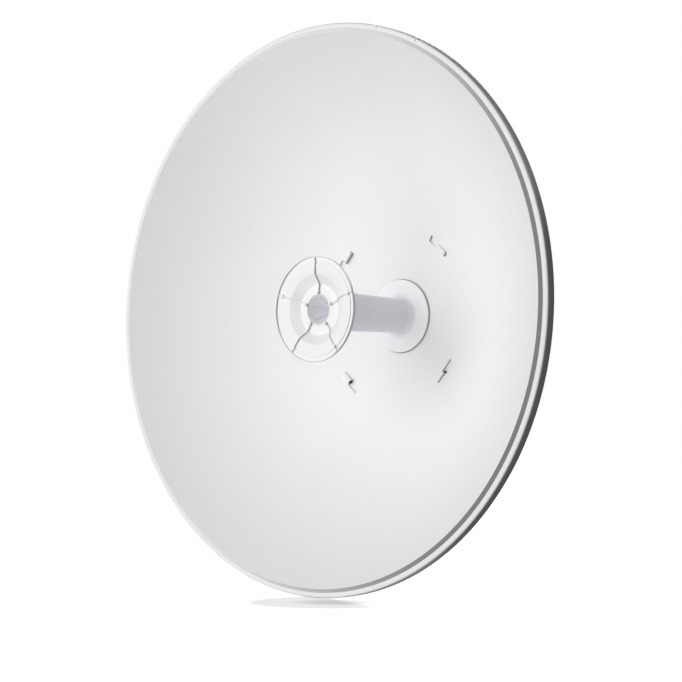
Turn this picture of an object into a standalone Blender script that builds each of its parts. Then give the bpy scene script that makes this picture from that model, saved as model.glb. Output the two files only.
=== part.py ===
import math

import bmesh
import bpy
from mathutils import Matrix, Vector

# Driving sizes in metres. Depths run along +Y from the plane of the dish's lip;
# the row's origin is on the pole bracket's back face, POLE_FACE behind that plane.
POLE_FACE = 0.3000
GAP = 0.0003
BITE = 0.0100

SHEET = 0.0015
LIP_R = 0.3144
DISH_DEPTH = 0.1580
FOCAL = LIP_R ** 2 / (4 * DISH_DEPTH)
RIM_R = 0.3250
SKIRT_END = 0.0140
SEAT_R = 0.0450
DISH_BORE = 0.0240
DISH_STEPS = 96

LUG_R = 0.1040
LUG_FIRST = 51.0
LUG_WALL = 0.0011
POCKET = (0.0175, 0.0117, 0.0024)
BUMP = (0.0156, 0.0068, 0.0042)
HOOK_WIDTH = 0.0038
HOOK_SPAN = 0.0070
HOOK_LENGTH = 0.0145
HOOK_SHIFT = 0.0078
HOOK_REACH = 0.0012
DRAIN_ANGLES = (75.7, 64.9)
DRAIN_CIRCLE = 0.3222
DRAIN_BORE = 0.0014

FOOT_R = 0.0433
FOOT_T = 0.0030
COLLAR_H = 0.0070
GASKET_R = 0.0442
GASKET_BORE = 0.0340
GASKET_T = 0.0008
TUBE_FOOT_R = 0.0203
TUBE_CUP_R = 0.0233
TUBE_WALL = 0.0022
CUP_R = 0.0604
CUP_RIM = 0.0017
CUP_NECK = 0.0200
THROAT_R = 0.0166
THROAT_MOUTH = 0.0108
THROAT_TIP = 0.0346
RIB_COUNT = 5
RIB_FIRST = 20.0
RIB_T = 0.0018
FIN_T = 0.0010
BOSS_R = 0.0022
BOSS_OUTER = 0.0530
BOSS_INNER = 0.0200

FEED_SCREW_CIRCLE = 0.0315
FEED_SCREW_R = 0.0020
FEED_SCREW_HOLE = 0.0024
FEED_SCREW_HEAD = 0.0036
HOUSING_R = 0.0270
HOUSING_FLANGE_R = 0.0365
HOUSING_FLANGE_T = 0.0040
HOUSING_END = 0.2040
PORT_X = 0.0130
PORT_R = 0.0048
PORT_BORE = 0.0034
PORT_HEX = 0.0070
PORT_L = 0.0130

HUB_FLAT = 0.1720
HUB_T = 0.0025
HUB_BORE = 0.0300
HUB_REST_IN = 0.1180
HUB_REST_OUT = 0.1280
HUB_BOLT_X = 0.0480
HUB_BOLT_Z = 0.0450
PLATE = 0.0030
TILT_HALF_X = 0.0750
TILT_HALF_Z = 0.0620
TILT_END = 0.2620
NEST = 0.0005
POLE_HALF_Z = 0.0650
POLE_START = 0.2250
PIVOT_DEPTH = 0.2450
PIVOT_Z = -0.0380
LOCK_SWING_R = 0.0700
LOCK_SWING = 16.0
EDGE = 0.0010

POLE_R = 0.0250
CLAMP_X = 0.0460
CLAMP_Z = 0.0420
CLAMP_EAR = 0.0580
CLAMP_KNEE = 0.0340
CLAMP_APEX = 0.0100
CLAMP_T = 0.0040
CLAMP_H = 0.0300
CLAMP_BOLT_TAIL = 0.0500

M8 = 0.0040
M8_HOLE = 0.0044
M8_BORE = 0.00425
NUT_R = 0.0074
NUT_H = 0.0065
NUT_SKIRT_R = 0.0088
NUT_SKIRT_H = 0.0014
DOME_R = 0.0086
DOME_TOP_R = 0.0050

# Colour, metallic and roughness of each finish
WHITE_PAINT = ((0.86, 0.87, 0.88), 0.0, 0.45)
WHITE_PLASTIC = ((0.88, 0.88, 0.89), 0.0, 0.40)
LAVENDER_PLASTIC = ((0.70, 0.70, 0.76), 0.0, 0.45)
GRAY_RUBBER = ((0.28, 0.28, 0.30), 0.0, 0.70)
ZINC = ((0.62, 0.63, 0.65), 1.0, 0.40)
GOLD_PLATE = ((0.78, 0.62, 0.32), 1.0, 0.35)

# Clear the scene, then make one collection for the parts and one for what cuts them
for old in list(bpy.data.objects):
    bpy.data.objects.remove(old, do_unlink=True)
parts = bpy.data.collections.new("dish antenna")
cutters = bpy.data.collections.new("cutting shapes")
for group in (parts, cutters):
    bpy.context.scene.collection.children.link(group)


# Empties carry the pieces: the dish with its feed, and the mount behind it
def empty(name):
    holder = bpy.data.objects.new(name, None)
    holder.location = (0, -POLE_FACE, 0)
    parts.objects.link(holder)
    return holder


DISH = empty("dish_and_feed")
MOUNT = empty("rear_mount")
bpy.context.view_layer.update()


def finish(name, look):
    colour, metallic, roughness = look
    material = bpy.data.materials.new(name)
    material.use_nodes = True
    shader = material.node_tree.nodes["Principled BSDF"]
    shader.inputs["Base Color"].default_value = (*colour, 1.0)
    shader.inputs["Metallic"].default_value = metallic
    shader.inputs["Roughness"].default_value = roughness
    return material


# A piece has a look and goes with the parts; a shape with no look is a cutter
def piece(name, bm, look=None, parent=DISH):
    bmesh.ops.remove_doubles(bm, verts=bm.verts, dist=0.00002)
    bmesh.ops.recalc_face_normals(bm, faces=bm.faces)
    if bm.calc_volume(signed=True) < 0:
        bmesh.ops.reverse_faces(bm, faces=bm.faces)
    mesh = bpy.data.meshes.new(name)
    bm.to_mesh(mesh)
    bm.free()
    ob = bpy.data.objects.new(name, mesh)
    ob.parent = parent
    if look:
        parts.objects.link(ob)
        mesh.materials.append(finish(name, look))
    else:
        cutters.objects.link(ob)
        ob.hide_render = True
        ob.display_type = "WIRE"
    return ob


def copy(name, source, matrix):
    ob = bpy.data.objects.new(name, source.data)
    ob.parent = source.parent
    ob.matrix_local = matrix
    source.users_collection[0].objects.link(ob)
    ob.hide_render = source.hide_render
    ob.display_type = source.display_type
    return ob


def evaluated_mesh(ob):
    bpy.context.view_layer.update()
    return bpy.data.meshes.new_from_object(ob.evaluated_get(bpy.context.evaluated_depsgraph_get()))


# A turned shape: its closed half section goes round the Y axis with a Screw
def turned(name, section, steps, look=None, parent=DISH):
    outline = bpy.data.meshes.new(name + "_section")
    corners = [(radius, depth, 0) for radius, depth in section]
    sides = [(i, (i + 1) % len(corners)) for i in range(len(corners))]
    outline.from_pydata(corners, sides, [])
    drawn = bpy.data.objects.new(name + "_section", outline)
    cutters.objects.link(drawn)
    screw = drawn.modifiers.new("turn", "SCREW")
    screw.axis = "Y"
    screw.steps = steps
    screw.render_steps = steps
    screw.use_merge_vertices = True
    screw.merge_threshold = 0.00001
    bm = bmesh.new()
    bm.from_mesh(evaluated_mesh(drawn))
    bpy.data.objects.remove(drawn, do_unlink=True)
    return piece(name, bm, look, parent)


# A flat outline: a filled 2D curve, as thick as asked, made a mesh and put in its place
def plate(name, outline, thickness, matrix, look=None, parent=DISH):
    curve = bpy.data.curves.new(name + "_outline", "CURVE")
    curve.dimensions = "2D"
    curve.fill_mode = "BOTH"
    curve.extrude = thickness / 2
    line = curve.splines.new("POLY")
    line.points.add(len(outline) - 1)
    for point, (x, y) in zip(line.points, outline):
        point.co = (x, y, 0, 1)
    line.use_cyclic_u = True
    drawn = bpy.data.objects.new(name + "_outline", curve)
    cutters.objects.link(drawn)
    bm = bmesh.new()
    bm.from_mesh(evaluated_mesh(drawn))
    bpy.data.objects.remove(drawn, do_unlink=True)
    bm.transform(matrix)
    return piece(name, bm, look, parent)


def block(name, size, matrix, look=None, parent=DISH):
    bm = bmesh.new()
    bmesh.ops.create_cube(bm, size=1.0, matrix=matrix @ Matrix.Diagonal((*size, 1.0)))
    return piece(name, bm, look, parent)


def box(name, low, high, look=None, parent=DISH):
    low, high = Vector(low), Vector(high)
    return block(name, high - low, Matrix.Translation((low + high) / 2), look, parent)


def drum(name, start, end, radius, sides, look=None, parent=DISH, end_radius=None):
    start, end = Vector(start), Vector(end)
    turn = (end - start).to_track_quat("Z", "Y").to_matrix().to_4x4()
    bm = bmesh.new()
    bmesh.ops.create_cone(bm, cap_ends=True, segments=sides, radius1=radius,
                          radius2=radius if end_radius is None else end_radius,
                          depth=(end - start).length,
                          matrix=Matrix.Translation((start + end) / 2) @ turn)
    return piece(name, bm, look, parent)


# Booleans are applied one after another, and each result is cleaned before the next
def boolean(ob, tools, operation):
    for tool in tools:
        step = ob.modifiers.new("cut", "BOOLEAN")
        step.operation = operation
        step.solver = "EXACT"
        step.object = tool
        cut = evaluated_mesh(ob)
        ob.modifiers.clear()
        ob.data = cut
        bpy.data.objects.remove(tool, do_unlink=True)
        bm = bmesh.new()
        bm.from_mesh(cut)
        bmesh.ops.remove_doubles(bm, verts=bm.verts, dist=0.00002)
        bmesh.ops.dissolve_degenerate(bm, edges=bm.edges, dist=0.00001)
        bm.to_mesh(cut)
        bm.free()


def join(ob, *tools):
    boolean(ob, tools, "UNION")


def cut(ob, *tools):
    boolean(ob, tools, "DIFFERENCE")


def soften(ob, width):
    mod = ob.modifiers.new("soft edges", "BEVEL")
    mod.width = width
    mod.segments = 1
    mod.limit_method = "ANGLE"
    mod.angle_limit = math.radians(35)
    mesh = evaluated_mesh(ob)
    ob.modifiers.clear()
    ob.data = mesh


# Points round the dish's axis, and the paraboloid with the back of its sheet
def around(radius, angle, depth):
    a = math.radians(angle)
    return Vector((radius * math.cos(a), depth, radius * math.sin(a)))


def bowl(radius):
    return DISH_DEPTH - radius ** 2 / (4 * FOCAL)


def bowl_back(radius):
    return bowl(radius) + SHEET * math.sqrt(1 + (radius / (2 * FOCAL)) ** 2)


def holes(name, radius, circle, angles, start, end):
    return [drum(f"{name}_{i}", around(circle, angle, start), around(circle, angle, end), radius, 12)
            for i, angle in enumerate(angles)]


# The reflector: a paraboloid of thin sheet with a pressed bead, a flat rim and a turned-back skirt
seat = bowl(SEAT_R)
front = [(DISH_BORE, seat), (SEAT_R, seat)]
front += [(radius, bowl(radius)) for radius in (0.065, 0.088, 0.112, 0.138, 0.165, 0.193, 0.220, 0.246,
                                                0.271, 0.294, 0.313)]
lip_and_bead = [(-0.0002, -0.0003), (0.0006, 0.0003), (0.0020, 0.0034), (0.0042, 0.0038),
                (0.0051, 0.0018), (0.0060, 0.0014), (0.0094, 0.0029), (0.0103, 0.0038)]
front += [(LIP_R + out, depth) for out, depth in lip_and_bead]
front += [(RIM_R, 0.0052), (RIM_R, SKIRT_END)]
back = [(RIM_R - SHEET, SKIRT_END), (RIM_R - SHEET, 0.0056), (LIP_R + 0.0062, 0.0036),
        (LIP_R + 0.0048, 0.0056), (LIP_R + 0.0016, 0.0055), (LIP_R - 0.0006, 0.0028)]
back += [(radius, bowl_back(radius)) for radius in (0.290, 0.245, 0.200, 0.150, LUG_R, 0.070, SEAT_R)]
back += [(DISH_BORE, seat + SHEET)]
reflector = turned("reflector", front + back, DISH_STEPS, WHITE_PAINT)


# Each turned lug is a pocket pressed back beside a bump pressed forward, sheared open between them
def lug_place(angle):
    slope = LUG_R / (2 * FOCAL)
    tangent = around(1, angle + 90, 0)
    outward = (around(1, angle, 0) + Vector((0, -slope, 0))).normalized()
    forward = outward.cross(tangent)
    if forward.y > 0:
        forward.negate()
    place = Matrix((tangent, outward, forward)).transposed().to_4x4()
    place.translation = around(LUG_R, angle, bowl(LUG_R) + SHEET / 2)
    return place


lug_angles = [LUG_FIRST + 90 * i for i in range(4)]
lug_shells, lug_spaces = [], []
for i, angle in enumerate(lug_angles):
    place = lug_place(angle)
    clear = BITE / 2
    for word, way, (length, width, height) in (("pocket", -1, POCKET), ("bump", 1, BUMP)):
        middle = Matrix.Translation((-way * length / 2, 0, way * height / 2))
        lug_shells.append(block(f"{word}_{i}", (length, width, height), place @ middle))
        space = (length - LUG_WALL + GAP, width - 2 * LUG_WALL, height - LUG_WALL + clear)
        middle = Matrix.Translation((-way * (space[0] / 2 - GAP), 0,
                                     way * ((height - LUG_WALL - clear) / 2)))
        lug_spaces.append(block(f"{word}_space_{i}", space, place @ middle))
join(reflector, *lug_shells)
cut(reflector, *lug_spaces)
screw_angles = [45 + 90 * i for i in range(4)]
cut(reflector, *holes("drain", DRAIN_BORE, DRAIN_CIRCLE, DRAIN_ANGLES, -BITE, BITE))
cut(reflector, *holes("seat_hole", FEED_SCREW_HOLE, FEED_SCREW_CIRCLE, screw_angles, seat - BITE, seat + BITE))

# The foot of the feed: a round flange with a soft fillet, on a thin gasket
gasket_top = seat - GAP - GASKET_T
turned("feed_gasket", [(GASKET_BORE, gasket_top), (GASKET_R, gasket_top), (GASKET_R, seat - GAP),
                       (GASKET_BORE, seat - GAP)], 64, GRAY_RUBBER)
foot_back = gasket_top - GAP
foot = foot_back - FOOT_T
collar_top = foot - COLLAR_H
fillet = [(0.0002, 0.0070), (0.0004, 0.0030), (0.0012, 0.0012), (0.0032, 0.0003), (0.0060, 0.0)]
foot_bore = TUBE_FOOT_R - TUBE_WALL
flange = turned("feed_flange", [(foot_bore, collar_top)]
                + [(TUBE_FOOT_R + out, foot - up) for out, up in fillet]
                + [(FOOT_R - 0.0008, foot + 0.0002), (FOOT_R, foot + 0.0010), (FOOT_R, foot_back),
                   (foot_bore, foot_back)], 48, LAVENDER_PLASTIC)
cut(flange, *holes("foot_hole", FEED_SCREW_HOLE, FEED_SCREW_CIRCLE, screw_angles, foot + 0.0010,
                   foot_back + BITE))

# The feed tube tapers from the cup down to the foot
tube_start, tube_end = CUP_NECK + GAP, collar_top - GAP
turned("feed_tube", [(TUBE_CUP_R - TUBE_WALL, tube_start), (TUBE_CUP_R, tube_start),
                     (TUBE_FOOT_R, tube_end), (TUBE_FOOT_R - TUBE_WALL, tube_end)], 64, LAVENDER_PLASTIC)

# The cup: a shallow stepped dish in front of the tube, stiffened by radial ribs that end in bosses
cup = turned("feed_cup", [
    (CUP_R - 0.0008, CUP_RIM), (CUP_R, CUP_RIM + 0.0006), (CUP_R, CUP_RIM + 0.0030),
    (CUP_R - 0.0012, CUP_RIM + 0.0040), (0.0424, 0.0062), (0.0322, 0.0148), (0.0304, 0.0160),
    (0.0248, CUP_NECK - 0.0012), (0.0240, CUP_NECK), (THROAT_R + 0.0022, CUP_NECK),
    (THROAT_R + 0.0022, 0.0122), (THROAT_R + 0.0004, 0.0122), (THROAT_R + 0.0004, 0.0102),
    (THROAT_R + 0.0012, 0.0097), (0.0284, 0.0115), (0.0298, 0.0110), (0.0390, 0.0040),
    (0.0404, 0.0034), (CUP_R - 0.0034, 0.0038), (CUP_R - 0.0024, CUP_RIM)], 64, WHITE_PLASTIC)
rib_front = [(CUP_R - 0.0012, CUP_RIM), (0.0540, 0.0012), (0.0410, 0.0012), (0.0386, 0.0022),
             (0.0300, 0.0080), (0.0270, 0.0084), (0.0200, 0.0072), (THROAT_R + 0.0006, 0.0074)]
rib_root = [(THROAT_R + 0.0006, 0.0112), (0.0285, 0.0132), (0.0312, 0.0124), (0.0400, 0.0055),
            (0.0420, 0.0048), (CUP_R - 0.0012, 0.0044)]
rib_angles = [RIB_FIRST + 360 * i / RIB_COUNT for i in range(RIB_COUNT)]
for angle in rib_angles:
    swing = Matrix.Rotation(-math.radians(angle), 4, "Y")
    join(cup, plate("rib", rib_front + rib_root, RIB_T, swing),
         drum("outer_boss", around(BOSS_OUTER, angle, 0.0010), around(BOSS_OUTER, angle, 0.0045), BOSS_R, 12),
         drum("inner_boss", around(BOSS_INNER, angle, 0.0070), around(BOSS_INNER, angle, 0.0120), BOSS_R, 12))

# The throat behind the cup is a short cone with a fin in line with each rib
throat = turned("feed_throat", [
    (THROAT_R, 0.0105), (THROAT_R + 0.0001, 0.0125), (THROAT_R + 0.0019, 0.0125),
    (THROAT_R + 0.0019, 0.0145), (0.0030, THROAT_TIP + 0.0032), (0.0, THROAT_TIP + 0.0032),
    (0.0, THROAT_TIP + 0.0006), (0.0012, THROAT_TIP), (THROAT_R - 0.0010, THROAT_MOUTH),
    (THROAT_R - 0.0008, 0.0105)], 40, LAVENDER_PLASTIC)
for angle in rib_angles:
    swing = Matrix.Rotation(-math.radians(angle), 4, "Y")
    join(throat, plate("fin", [(0.0144, 0.0112), (0.0017, 0.0326), (0.0027, 0.0332), (0.0156, 0.0120)],
                       FIN_T, swing))

# Behind the dish: the feed's housing, its four screws and its two sockets
housing = seat + SHEET + GAP
flange_end = housing + HOUSING_FLANGE_T
drum_like = turned("feed_housing", [
    (0.0, housing), (HOUSING_FLANGE_R - 0.0005, housing), (HOUSING_FLANGE_R, housing + 0.0005),
    (HOUSING_FLANGE_R, flange_end - 0.0005), (HOUSING_FLANGE_R - 0.0005, flange_end),
    (HOUSING_R + 0.0010, flange_end), (HOUSING_R, flange_end + 0.0010),
    (HOUSING_R - 0.0010, HOUSING_END - 0.0020), (HOUSING_R - 0.0030, HOUSING_END),
    (0.0, HOUSING_END)], 40, WHITE_PLASTIC)
cut(drum_like, *holes("housing_hole", FEED_SCREW_HOLE, FEED_SCREW_CIRCLE, screw_angles, housing - BITE,
                      flange_end + 0.0020))
for i, angle in enumerate(screw_angles):
    head = flange_end + GAP
    screw = drum(f"feed_screw_{i + 1}", around(FEED_SCREW_CIRCLE, angle, head),
                 around(FEED_SCREW_CIRCLE, angle, head + 0.0024), FEED_SCREW_HEAD, 16, ZINC)
    join(screw, drum(f"shank_{i}", around(FEED_SCREW_CIRCLE, angle, foot + 0.0016),
                     around(FEED_SCREW_CIRCLE, angle, head + 0.0010), FEED_SCREW_R, 12))
socket = HOUSING_END + GAP
for i, x in enumerate((-PORT_X, PORT_X)):
    port = drum(f"rf_port_{i + 1}", (x, socket, 0), (x, socket + 0.0022, 0), PORT_HEX, 6, GOLD_PLATE)
    join(port, drum("barrel", (x, socket + 0.0010, 0), (x, socket + PORT_L, 0), PORT_R, 20))
    cut(port, drum("socket_bore", (x, socket + 0.0060, 0), (x, socket + PORT_L + BITE, 0), PORT_BORE, 20))

# The pressed hub plate hooks into the four lugs
rest_in = bowl_back(HUB_REST_IN) + GAP + 0.0001
rest_out = bowl_back(HUB_REST_OUT) + GAP + 0.0002
hub = turned("hub_plate", [
    (HUB_BORE, HUB_FLAT), (0.0905, HUB_FLAT), (0.0930, HUB_FLAT - 0.0010),
    (HUB_REST_IN - 0.0030, rest_in + 0.0030), (HUB_REST_IN, rest_in), (HUB_REST_OUT, rest_out),
    (HUB_REST_OUT + 0.0006, rest_out + HUB_T), (HUB_REST_IN + 0.0010, rest_in + HUB_T + 0.0006),
    (HUB_REST_IN - 0.0004, rest_in + HUB_T + 0.0022), (0.0950, HUB_FLAT + 0.0016),
    (0.0915, HUB_FLAT + HUB_T), (HUB_BORE, HUB_FLAT + HUB_T)], 48, WHITE_PAINT, MOUNT)
hook_middle = Matrix.Translation((-HOOK_SHIFT, 0, HOOK_REACH - HOOK_LENGTH / 2))
join(hub, *[block(f"hook_{i}", (HOOK_SPAN, HOOK_WIDTH, HOOK_LENGTH), lug_place(angle) @ hook_middle)
            for i, angle in enumerate(lug_angles)])


# Round holes for the mount's M8 bolts, along Y at given corners or along X through both cheeks
def corners_of(x, z):
    return [(sx * x, sz * z) for sz in (1, -1) for sx in (-1, 1)]


def holes_along_y(places, middle):
    return [drum(f"hole_{i}", (x, middle - BITE, z), (x, middle + BITE, z), M8_HOLE, 16)
            for i, (x, z) in enumerate(places)]


def hole_along_x(depth, z):
    return drum("cross_hole", (-0.1, depth, z), (0.1, depth, z), M8_HOLE, 16)


hub_corners = corners_of(HUB_BOLT_X, HUB_BOLT_Z)
cut(hub, *holes_along_y(hub_corners, HUB_FLAT))

# Side views: a plate drawn in depth and height, as thick as asked across X
SIDE = Matrix(((0, 0, 1, 0), (1, 0, 0, 0), (0, 1, 0, 0), (0, 0, 0, 1)))


def arc(centre_x, centre_y, radius, start, end, steps):
    turns = [math.radians(start + (end - start) * i / steps) for i in range(steps + 1)]
    return [(centre_x + radius * math.cos(a), centre_y + radius * math.sin(a)) for a in turns]


def arc_slot():
    low, high = 90 - LOCK_SWING, 90 + LOCK_SWING
    ends = [arc(0, 0, LOCK_SWING_R, turn, turn, 1)[0] for turn in (low, high)]
    line = arc(0, 0, LOCK_SWING_R + M8_HOLE, low, high, 8)
    line += arc(*ends[1], M8_HOLE, high, high + 180, 6)[1:-1]
    line += arc(0, 0, LOCK_SWING_R - M8_HOLE, high, low, 8)
    line += arc(*ends[0], M8_HOLE, low + 180, low + 360, 6)[1:-1]
    return [(PIVOT_DEPTH + depth, PIVOT_Z + z) for depth, z in line]


# A folded channel is a box hollowed from one end, with its cheeks' corners cut off
def channel(name, half_x, half_z, start, end, hollow_start, hollow_end, chamfers):
    ob = box(name, (-half_x, start, -half_z), (half_x, end, half_z), WHITE_PAINT, MOUNT)
    inner = half_x - PLATE
    cut(ob, box("hollow", (-inner, hollow_start, -0.1), (inner, hollow_end, 0.1)))
    for i, outline in enumerate(chamfers):
        cut(ob, plate(f"chamfer_{i}", outline, 0.3, SIDE))
    soften(ob, EDGE)
    return ob


# The tilt bracket, with a pivot hole and an arc slot in each cheek
tilt_start = HUB_FLAT + HUB_T + GAP
tilt_plate = tilt_start + PLATE
tilt = channel("tilt_bracket", TILT_HALF_X, TILT_HALF_Z, tilt_start, TILT_END, tilt_plate, POLE_FACE,
               [[(0.2380, 0.0700), (0.2700, 0.0700), (0.2700, 0.0420)],
                [(0.2380, -0.0700), (0.2700, -0.0700), (0.2700, -0.0420)]])
cut(tilt, drum("hub_bore", (0, HUB_FLAT, 0), (0, tilt_plate + BITE, 0), HUB_BORE, 48),
    hole_along_x(PIVOT_DEPTH, PIVOT_Z), plate("slot", arc_slot(), 0.3, SIDE),
    *holes_along_y(hub_corners, tilt_start))

# The pole bracket nests inside it, with its flat back against the pole
pole_half_x = TILT_HALF_X - PLATE - NEST
pole_plate = POLE_FACE - PLATE
lock_z = PIVOT_Z + LOCK_SWING_R
clamp_corners = corners_of(CLAMP_X, CLAMP_Z)
pole = channel("pole_bracket", pole_half_x, POLE_HALF_Z, POLE_START, POLE_FACE, POLE_START - BITE,
               pole_plate, [[(0.2150, 0.0450), (0.2150, 0.0700), (0.2500, 0.0700)],
                            [(0.2150, -0.0560), (0.2150, -0.0700), (0.2320, -0.0700)]])
cut(pole, hole_along_x(PIVOT_DEPTH, PIVOT_Z), hole_along_x(PIVOT_DEPTH, lock_z),
    *holes_along_y(clamp_corners, POLE_FACE))

# Two notched clamps pull the pole against that flat face: their sides slope at 45 degrees
ear = POLE_FACE + POLE_R * (1 + math.sqrt(2)) + GAP - CLAMP_KNEE
crown = ear + CLAMP_KNEE - CLAMP_APEX
miter = CLAMP_T * math.tan(math.radians(22.5))
half = [(CLAMP_APEX, crown), (CLAMP_KNEE, ear), (CLAMP_EAR, ear), (CLAMP_EAR, ear + CLAMP_T),
        (CLAMP_KNEE + miter, ear + CLAMP_T), (CLAMP_APEX + miter, crown + CLAMP_T)]
clamp_line = half + [(-x, y) for x, y in reversed(half)]
for name, z in (("clamp_upper", CLAMP_Z), ("clamp_lower", -CLAMP_Z)):
    clamp = plate(name, clamp_line, CLAMP_H, Matrix.Translation((0, 0, z)), ZINC, MOUNT)
    cut(clamp, *holes_along_y([(-CLAMP_X, z), (CLAMP_X, z)], ear))


# Bolts and nuts: each kind is made once, along +Y from the face its head rests on, and then copied
def bolt(name, length, head_t, domed):
    if domed:
        ob = drum(name, (0, -head_t, 0), (0, 0, 0), DOME_TOP_R, 16, ZINC, MOUNT, end_radius=DOME_R)
    else:
        ob = drum(name, (0, -head_t, 0), (0, 0, 0), NUT_R, 6, ZINC, MOUNT)
    join(ob, drum("shank", (0, -head_t / 2, 0), (0, length, 0), M8, 12, None, MOUNT))
    return ob


def nut(name):
    ob = drum(name, (0, 0, 0), (0, NUT_H, 0), NUT_R, 6, ZINC, MOUNT)
    join(ob, drum("nut_skirt", (0, 0, 0), (0, NUT_SKIRT_H, 0), NUT_SKIRT_R, 16, None, MOUNT))
    cut(ob, drum("nut_bore", (0, -BITE, 0), (0, BITE, 0), M8_BORE, 12, None, MOUNT))
    return ob


def spread(first, names, places):
    for name, place in zip(names, places):
        ob = copy(name, first, place) if name != first.name else first
        ob.matrix_local = place


def at(x, depth, z, angle=0):
    return Matrix.Translation((x, depth, z)) @ Matrix.Rotation(math.radians(angle), 4, "Z")


def numbered(word):
    return [f"{word}_{i + 1}" for i in range(4)]


clamp_nut_face = ear + CLAMP_T + GAP
spread(bolt("hub_bolt_1", tilt_plate + 0.0110 - HUB_FLAT, 0.0036, True), numbered("hub_bolt"),
       [at(x, HUB_FLAT - GAP, z) for x, z in hub_corners])
spread(nut("hub_nut_1"), numbered("hub_nut"), [at(x, tilt_plate + GAP, z) for x, z in hub_corners])
spread(bolt("clamp_bolt_1", clamp_nut_face + CLAMP_BOLT_TAIL - pole_plate, 0.0040, True),
       numbered("clamp_bolt"), [at(x, pole_plate - GAP, z) for x, z in clamp_corners])
spread(nut("clamp_nut_1"), numbered("clamp_nut"), [at(x, clamp_nut_face, z) for x, z in clamp_corners])
outer, inner = TILT_HALF_X + GAP, pole_half_x - PLATE - GAP
for word, z in (("pivot", PIVOT_Z), ("lock", lock_z)):
    spread(bolt(f"{word}_bolt_left", outer - 0.0540, 0.0053, False),
           [f"{word}_bolt_left", f"{word}_bolt_right"],
           [at(-outer, PIVOT_DEPTH, z, -90), at(outer, PIVOT_DEPTH, z, 90)])
    spread(nut(f"{word}_nut_left"), [f"{word}_nut_left", f"{word}_nut_right"],
           [at(-inner, PIVOT_DEPTH, z, -90), at(inner, PIVOT_DEPTH, z, 90)])

# Round faces shade smooth and real edges stay sharp
for ob in parts.objects:
    if ob.type == "MESH":
        ob.data.shade_smooth()
        ob.data.set_sharp_from_angle(angle=math.radians(32))
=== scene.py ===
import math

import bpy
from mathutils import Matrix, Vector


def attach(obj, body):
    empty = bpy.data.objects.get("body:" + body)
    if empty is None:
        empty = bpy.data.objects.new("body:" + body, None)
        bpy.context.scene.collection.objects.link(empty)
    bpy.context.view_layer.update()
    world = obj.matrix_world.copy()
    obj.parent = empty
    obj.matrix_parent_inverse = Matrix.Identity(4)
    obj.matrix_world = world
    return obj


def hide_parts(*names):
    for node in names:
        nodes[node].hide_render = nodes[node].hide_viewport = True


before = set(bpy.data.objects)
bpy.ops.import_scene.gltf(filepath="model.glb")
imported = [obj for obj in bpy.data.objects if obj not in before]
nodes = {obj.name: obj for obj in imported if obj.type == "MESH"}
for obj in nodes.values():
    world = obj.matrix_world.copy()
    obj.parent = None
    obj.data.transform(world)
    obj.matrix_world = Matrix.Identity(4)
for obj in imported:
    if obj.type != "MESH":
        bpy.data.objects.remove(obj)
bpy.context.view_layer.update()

# %% [markdown]
# # A pole-mounted dish antenna
# This lesson dresses a round white dish that gathers radio waves into a feed in its middle.
# The frame brings every solid at its true size. Here each of them is modelled again, finely enough
# for a portrait, and gets a finish that is built from nodes.
# All lengths are metres. Depths along the dish's axis are counted from its lip, because on a real
# dish every depth is measured from a straight edge laid across the lip.

LIP = -0.300
print(len(nodes), "solids come with the frame")

# %% [markdown]
# ## The camera
# The dish was photographed with a long lens, from its right and a touch below its axis, and the
# camera was a little rolled. A camera is three axes and a spot, so the axes are built one by one
# and put straight into its matrix: that is exact, where nudging by eye never is.

# %% Camera
VIEW_AZIMUTH = 42.494
VIEW_RISE = -1.406
VIEW_ROLL = 2.023
FOCAL_PIXELS = 1830.4
PHOTO_SIZE = 682
CAMERA_SPOT = Vector((1.42341, -1.50438 + LIP, -0.08583))

azimuth, rise, roll = (math.radians(angle) for angle in (VIEW_AZIMUTH, VIEW_RISE, VIEW_ROLL))
view_back = Vector((math.sin(azimuth) * math.cos(rise), -math.cos(azimuth) * math.cos(rise), math.sin(rise)))
level_right = Vector((0, 0, 1)).cross(view_back).normalized()
level_up = view_back.cross(level_right)
view_right = math.cos(roll) * level_right + math.sin(roll) * level_up
view_up = math.cos(roll) * level_up - math.sin(roll) * level_right

bpy.ops.object.camera_add()
camera = bpy.context.object
camera.name = "portrait_camera"
camera.data.lens = FOCAL_PIXELS * camera.data.sensor_width / PHOTO_SIZE
turn = Matrix((view_right, view_up, view_back)).transposed().to_4x4()
camera.matrix_world = Matrix.Translation(CAMERA_SPOT) @ turn
bpy.context.scene.camera = camera
print("lens", round(camera.data.lens, 1), "mm")

# %% [markdown]
# ## Wires
# Light and finishes are small webs of nodes. Their sums are written as plain expressions: a wire is a
# value on its way along a link, and adding or multiplying wires adds the Math nodes.

# %% Wires
class Wire:
    def __init__(self, tree, socket):
        self.tree, self.socket = tree, socket

    def node(self, kind, settings=None, feeds=None, out=0):
        made = self.tree.nodes.new(kind)
        for word, value in (settings or {}).items():
            setattr(made, word, value)
        for key, value in (feeds or {}).items():
            if isinstance(value, Wire):
                self.tree.links.new(value.socket, made.inputs[key])
            else:
                made.inputs[key].default_value = value
        return Wire(self.tree, made.outputs[out])

    def maths(self, operation, *values):
        return self.node("ShaderNodeMath", {"operation": operation}, dict(enumerate(values)))

    def along(self, way):
        return self.node("ShaderNodeVectorMath", {"operation": "DOT_PRODUCT"}, {0: self, 1: way}, out=1)

    def __add__(self, other):
        return self.maths("ADD", self, other)

    def __sub__(self, other):
        return self.maths("SUBTRACT", self, other)

    def __rsub__(self, other):
        return self.maths("SUBTRACT", other, self)

    def __mul__(self, other):
        return self.maths("MULTIPLY", self, other)

    __radd__ = __add__
    __rmul__ = __mul__


print("wires can be added and multiplied")

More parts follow.
